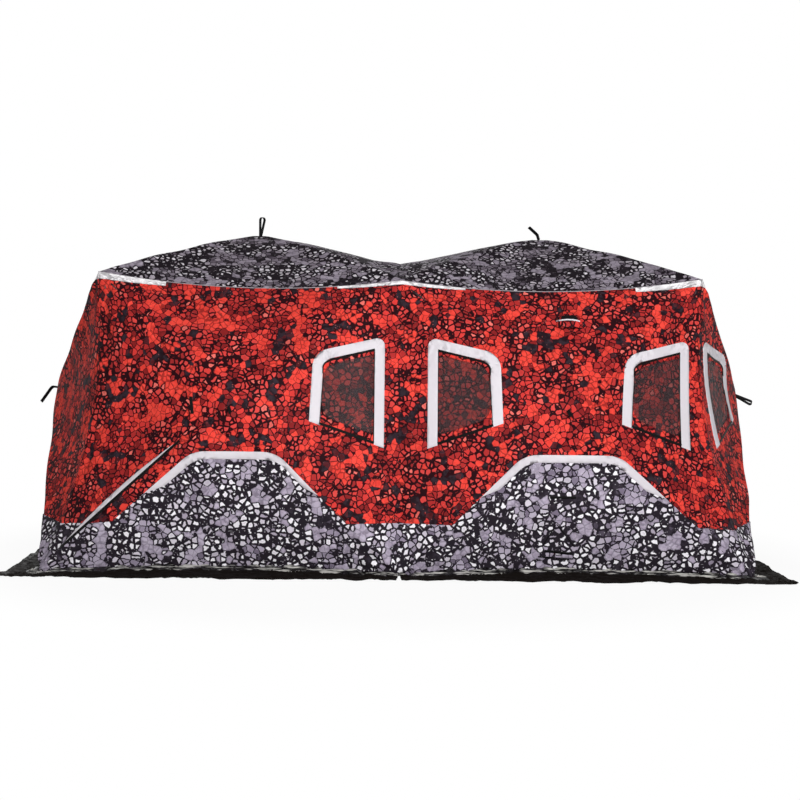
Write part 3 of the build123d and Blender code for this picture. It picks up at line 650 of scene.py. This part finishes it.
# strips sewn on the cloth
outside = {"x": 2.4, "y": 1.3, "back": 0.3}        # where the search for a wall's face starts
hubSide = (hut["footX"] + hut["headX"]) / 4
frontY, endX = outside["y"], outside["x"]
places = {"front": ((0, -frontY), (1, 0)), "back": ((0, frontY), (-1, 0)),
          "front_left": ((-hubSide, -frontY), (1, 0)),
          "front_right": ((hubSide, -frontY), (1, 0)),
          "back_right": ((hubSide, frontY), (-1, 0)),
          "back_left": ((-hubSide, frontY), (-1, 0)),
          "right_end": ((endX, 0), (0, 1)), "left_end": ((-endX, 0), (0, -1))}
twins = {"front": "back", "front_left": "back_right", "front_right": "back_left",
         "right_end": "left_end"}


def skinOver(parts):
    # one surface over several pieces, for strips to lie on
    spots, faces = [], []
    for piece in parts:
        start = len(spots)
        spots += [v.co.copy() for v in piece.data.vertices]
        faces += [[start + i for i in f.vertices] for f in piece.data.polygons]
    return BVHTree.FromPolygons(spots, faces)


def skinOf(wall):
    # everything on one side of the hut that a strip may lie on
    around = [wall + "_wall", wall + "_apron", wall + "_window", "window_tapes", "apron_tapes",
              "door_zips", "vent_meshes", "vent_hoods",
              "front_door" if "front" in wall else "back_door"]
    return skinOver([pieces[node] for node in around])


skins = {wall: skinOf(wall) for wall in walls}
for side in ("front", "back"):
    skins[side] = skinOver([pieces[side + part] for part in (
        "_left_wall", "_left_apron", "_right_wall", "_right_apron")])


def onSkin(wall, across, height, proud):
    # the place on a wall's outer face, a little proud of it
    (x, y), (ax, ay) = places[wall]
    out = Vector((ay, -ax, 0))
    start = Vector((x + ax * across, y + ay * across, height)) + out * outside["back"]
    hit = skins[wall].ray_cast(start, -out)[0]
    return None if hit is None else hit + out * proud


def alongRoute(route, share):
    # point and direction at a share of the length of a broken line
    route = np.array(route, float)
    runs = np.linalg.norm(np.diff(route, axis=0), axis=1)
    at = share * runs.sum()
    for a, b, run in zip(route[:-1], route[1:], runs):
        if at <= run + 1e-9:
            return a + (b - a) * at / run, (b - a) / run
        at -= run
    return route[-1], (route[-1] - route[-2]) / runs[-1]


def rounded(corners, radius, steps=6):
    # a broken line with its inner corners drawn as arcs
    corners = [np.array(c, float) for c in corners]
    line = [corners[0]]
    for before, here, after in zip(corners, corners[1:], corners[2:]):
        a = here + (before - here) * min(radius / np.linalg.norm(before - here), 0.45)
        b = here + (after - here) * min(radius / np.linalg.norm(after - here), 0.45)
        for t in np.linspace(0, 1, steps):
            line.append((1 - t) ** 2 * a + 2 * t * (1 - t) * here + t * t * b)
    return line + [corners[-1]]


stripSet = {"pieceLength": 0.012, "smooth": 40}


def strip(name, wall, route, width, paint, slot,
          proud=0.001, crown=0.001, thick=0.0012, rows=4):
    # a strip of cloth, zip or tape laid on a wall along a route in its elevation
    length = sum(math.dist(a, b) for a, b in zip(route, route[1:]))
    bpy.ops.object.select_all(action="DESELECT")
    bpy.ops.mesh.primitive_grid_add(
        x_subdivisions=max(4, int(length / stripSet["pieceLength"])), y_subdivisions=rows, size=1)
    piece = bpy.context.object
    piece.name = name
    for vertex in piece.data.vertices:
        share, over = vertex.co.x + 0.5, vertex.co.y
        spot, run = alongRoute(route, share)
        wide = width(share) if callable(width) else width
        at = spot + np.array([-run[1], run[0]]) * over * wide
        place = onSkin(wall, at[0], at[1], proud + crown * (1 - 4 * over * over))
        vertex.co = place or onSkin(wall, spot[0], spot[1], proud)
    onlyActive(piece)
    bpy.ops.object.mode_set(mode="EDIT")
    bpy.ops.mesh.select_all(action="SELECT")
    bpy.ops.mesh.normals_make_consistent(inside=False)
    bpy.ops.object.mode_set(mode="OBJECT")
    outward = Vector((places[wall][1][1], -places[wall][1][0], 0))
    if sum((f.normal for f in piece.data.polygons), Vector()).dot(outward) < 0:
        piece.data.flip_normals()
    shell = piece.modifiers.new("thickness", "SOLIDIFY")
    shell.thickness = thick
    shell.offset = -1
    bpy.ops.object.modifier_apply(modifier=shell.name)
    bpy.ops.object.shade_smooth_by_angle(angle=math.radians(stripSet["smooth"]))
    piece.data.materials.clear()
    piece.data.materials.append(paint)
    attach(piece, "root")
    return piece


def onBoth(name, wall, *rest, **more):
    # the same strip on a wall and on its twin, half a turn round the hut
    for side in (wall, twins[wall]):
        strip(name + "_" + side, side, *rest, **more)


windowSet = {
    "width": 0.320, "tape": 0.059, "lean": 0.018, "tallSill": 0.782, "tallHead": 1.335,
    "shortSill": 0.898, "shortHead": 1.262, "corner": 0.070, "headZip": 0.013, "sillZip": 0.016,
    "sideSeam": 0.005, "zipDrop": 0.006, "seamDrop": 0.01, "zipDown": 0.075, "shortDown": 0.07,
    "zipLean": 0.002, "taper": 0.6, "taperFrom": 0.75,
    "places": (("front_left", 1, 0.882), ("front_right", -1, 0.818), ("front_right", 1, 0.757),
               ("right_end", -1, 0.714))}


def headZipWidth(share):
    # the zip over a window narrows as it turns down the short side
    late = max(0, (share - windowSet["taperFrom"]) / (1 - windowSet["taperFrom"]))
    return windowSet["headZip"] * (1 - windowSet["taper"] * late)


for number, (wall, side, edge) in enumerate(windowSet["places"]):
    tall = edge - windowSet["tape"]
    short = tall - windowSet["width"]
    tallFoot, tallTop = (side * tall, windowSet["tallSill"]), (side * tall, windowSet["tallHead"])
    shortTop = (side * (short + windowSet["lean"]), windowSet["shortHead"])
    shortFoot = (side * short, windowSet["shortSill"])
    inward = -side * windowSet["sideSeam"] / 2
    onBoth(f"windowHeadZip{number}", wall,
           rounded([(tallTop[0], tallTop[1] - windowSet["zipDrop"]),
                    (shortTop[0], shortTop[1] - windowSet["zipDrop"]),
                    (shortTop[0] - side * windowSet["zipLean"],
                     shortTop[1] - windowSet["zipDown"])],
                   windowSet["corner"]),
           headZipWidth, blackZip, "zip", crown=0.002)
    onBoth(f"windowSillZip{number}", wall, [tallFoot, shortFoot], windowSet["sillZip"],
           blackZip, "zip", crown=0.002)
    onBoth(f"windowTallSeam{number}", wall,
           [(tallTop[0] + inward, tallTop[1] - windowSet["seamDrop"]),
            (tallFoot[0] + inward, tallFoot[1])],
           windowSet["sideSeam"], blackZip, "zip", rows=2)
    onBoth(f"windowShortSeam{number}", wall,
           [(shortTop[0] - inward, shortTop[1] - windowSet["shortDown"]),
            (shortFoot[0] - inward, shortFoot[1])],
           windowSet["sideSeam"], blackZip, "zip", rows=2)
print("window zips sewn")

seamSet = {"width": 0.026, "foot": 0.045, "head": 1.725}
bandTop = max(v.co.z for v in pieces["front_left_apron"].data.vertices if abs(v.co.x) < 0.05)
onBoth("middleSeamLow", "front", [(0, seamSet["foot"]), (0, bandTop)], seamSet["width"],
       greyCloth, "grey_cloth", proud=0.0016, crown=0.0006)
onBoth("middleSeam", "front", [(0, bandTop), (0, seamSet["head"])], seamSet["width"],
       redCloth, "red_cloth", proud=0.001, crown=0.0006)

doorSet = {"flapWidth": 0.040, "knee": (-0.303, 0.790), "latch": (-0.238, 0.862),
           "latchHead": (-0.238, 1.165), "hingeHead": (-0.775, 1.625), "corner": 0.07,
           "pull": ((-0.245, 1.045), (-0.232, 0.945)), "pullWidth": 0.020}
onBoth("doorFlap", "front_left",
       rounded([doorSet["knee"], doorSet["latch"], doorSet["latchHead"], doorSet["hingeHead"]],
               doorSet["corner"]),
       doorSet["flapWidth"], redCloth, "red_cloth", proud=0.0015, crown=0.004, thick=0.0015)
onBoth("doorPull", "front_left", doorSet["pull"], doorSet["pullWidth"], webbing, "webbing",
       proud=0.004, crown=0.003, thick=0.003)

ventSet = {"side": 0.012, "sill": 1.512, "rise": 0.009, "lipHalf": 0.068, "lip": 0.008,
           "mouthHalf": 0.056, "mouth": 0.036, "mouthEnd": 0.02,
           "shadedSlits": (((-0.099, 0.478), (0.055, 0.478), 0.015),
                     ((-0.114, 0.149), (0.050, 0.137), 0.016),
                     ((-0.152, 0.114), (0.058, 0.103), 0.009)),
           "flap": ((-0.127, 0.178), (-0.052, 0.319), (0.062, 0.176)), "flapEdgeShade": 0.006,
           "flapCorner": 0.012}
lip = [(ventSet["side"] + ventSet["lipHalf"] * t,
        ventSet["sill"] + ventSet["rise"] * (1 - t * t)) for t in np.linspace(-1, 1, 9)]
onBoth("ventMouth", "front_right",
       [(ventSet["side"] - ventSet["mouthHalf"], ventSet["sill"] + ventSet["mouth"] / 2),
        (ventSet["side"] + ventSet["mouthHalf"], ventSet["sill"] + ventSet["mouth"] / 2)],
       lambda u: ventSet["mouth"] * math.sqrt(max(ventSet["mouthEnd"], 1 - (2 * u - 1) ** 2)),
       meshCloth, "mesh", proud=0.0015)
onBoth("ventLip", "front_right", lip, ventSet["lip"], paleTape, "pale_tape",
       proud=0.003, crown=0.002)
# black strips over the pocket's slits: painted shade inside the openings
for number, (start, end, width) in enumerate(ventSet["shadedSlits"]):
    onBoth(f"pocketSlit{number}", "front_right", [start, end], width, blackZip, "zip",
           proud=0.003, crown=0.002)
# a black line along the outline of the pocket's flap: painted shade at its edge
onBoth("cableFlapEdgeShade", "front_right", rounded(ventSet["flap"], ventSet["flapCorner"]),
       ventSet["flapEdgeShade"], blackZip, "zip", proud=0.002, crown=0.001)
print("flaps and vents sewn")

# piping along the eaves
pipingSet = {"radius": 0.0024, "steps": 40, "proud": 0.002}


def bowed(a, b, bow, steps):
    a, b, bow = np.array(a), np.array(b), np.array(bow)
    return [a + (b - a) * t + bow * 4 * t * (1 - t) for t in np.linspace(0, 1, steps)]


def eaveLines():
    x, y, z = hut["headX"], hut["headY"], hut["headZ"]
    for sx in (-1, 1):
        for sy in (-1, 1):
            yield bowed((0, sy * y, hut["middleZ"]), (sx * x, sy * y, z),
                        (0, -sy * hut["eaveBow"], -hut["eaveDrop"]), pipingSet["steps"])
        yield bowed((sx * x, -y, z), (sx * x, y, z), (-sx * hut["eaveBow"], 0, -hut["eaveDrop"]),
                    pipingSet["steps"])


for number, line in enumerate(eaveLines()):
    curve = bpy.data.curves.new(f"eavePiping{number}", "CURVE")
    curve.dimensions = "3D"
    curve.bevel_depth = pipingSet["radius"]
    curve.bevel_resolution = 2
    curve.use_fill_caps = True
    spline = curve.splines.new("POLY")
    spline.points.add(len(line) - 1)
    for point, spot in zip(spline.points, line):
        away = Vector((spot[0], spot[1], 0)).normalized() * pipingSet["proud"]
        point.co = (*(Vector(spot) + away), 1)
    cord = bpy.data.objects.new(curve.name, curve)
    bpy.context.scene.collection.objects.link(cord)
    onlyActive(cord)
    bpy.ops.object.convert(target="MESH")
    cord = bpy.context.object
    bpy.ops.object.shade_smooth()
    cord.data.materials.append(piping)
    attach(cord, "root")
print("piping laid")

# studio
studio = {"floorSize": 60.0, "keySize": 2.4, "keyPower": 590.0, "keyPlace": (1.4, -9.0, 2.9),
          "backPower": 590.0, "backPlace": (-1.4, 9.0, 3.4), "sky": 0.23, "aim": (0, 0, 0.9),
          "floorTone": 0.9, "floorShade": 0.93, "shadeFrom": 2.3, "shadeTo": 3.2,
          "lens": 69.3, "sensor": 36.0, "cameraPlace": (-0.165, -10.050, 1.370),
          "yaw": -1.02, "pitch": 2.12, "roll": 0.72}

bpy.ops.object.select_all(action="DESELECT")
bpy.ops.mesh.primitive_plane_add(size=studio["floorSize"], location=(0, 0, 0))
floor = bpy.context.object
floor.name = "floor"


def whiteRays(paint):
    # 1 for what the camera, a reflection or the clear film sees
    seen, mirrored, through = [
        paint.node("ShaderNodeLightPath", out=ray)
        for ray in ("Is Camera Ray", "Is Glossy Ray", "Is Transmission Ray")]
    return seen.atLeast(mirrored).atLeast(through)


floorPaint = Paint("paleFloor")
tone = studio["floorTone"]
shaded = floorPaint.node("ShaderNodeBsdfDiffuse", values={"Color": (tone, tone, tone, 1)})
glow = floorPaint.node("ShaderNodeEmission", values={"Color": (1, 1, 1, 1), "Strength": 1.0})
away = floorPaint.node("ShaderNodeVectorMath", {"operation": "LENGTH"}, {
    0: floorPaint.place()}, out="Value")
# the shadow fades out round the hut
clear = studio["floorShade"] + (1 - studio["floorShade"]) * floorPaint.ramp(
    away, studio["shadeFrom"], studio["shadeTo"])
blend = floorPaint.node("ShaderNodeMixShader", values={
    0: whiteRays(floorPaint) * clear, 1: shaded, 2: glow})
floorPaint.node("ShaderNodeOutputMaterial", values={"Surface": blend})
floor.data.materials.append(floorPaint.made)

sky = Paint("studioSky", "worlds")
bpy.context.scene.world = sky.made
soft = sky.node("ShaderNodeBackground", values={
    "Color": (1, 1, 1, 1), "Strength": studio["sky"]})
white = sky.node("ShaderNodeBackground", values={"Color": (1, 1, 1, 1), "Strength": 1.0})
either = sky.node("ShaderNodeMixShader", values={0: whiteRays(sky), 1: soft, 2: white})
sky.node("ShaderNodeOutputWorld", values={"Surface": either})

for lamp in ("key", "back"):
    bpy.ops.object.light_add(type="AREA", location=studio[lamp + "Place"])
    light = bpy.context.object
    light.name = lamp + "Lamp"
    light.data.size = studio["keySize"]
    light.data.energy = studio[lamp + "Power"]
    aim = Vector(studio["aim"]) - Vector(studio[lamp + "Place"])
    light.rotation_euler = aim.to_track_quat("-Z", "Y").to_euler()

bpy.ops.object.camera_add(location=studio["cameraPlace"])
camera = bpy.context.object
camera.data.lens = studio["lens"]
camera.data.sensor_width = studio["sensor"]
turn = (Matrix.Rotation(math.radians(studio["yaw"]), 4, "Z")
        @ Matrix.Rotation(math.radians(90 - studio["pitch"]), 4, "X")
        @ Matrix.Rotation(math.radians(studio["roll"]), 4, "Z"))
camera.rotation_euler = turn.to_euler()
bpy.context.scene.camera = camera
bpy.context.scene.view_settings.view_transform = "Standard"
print("studio set")
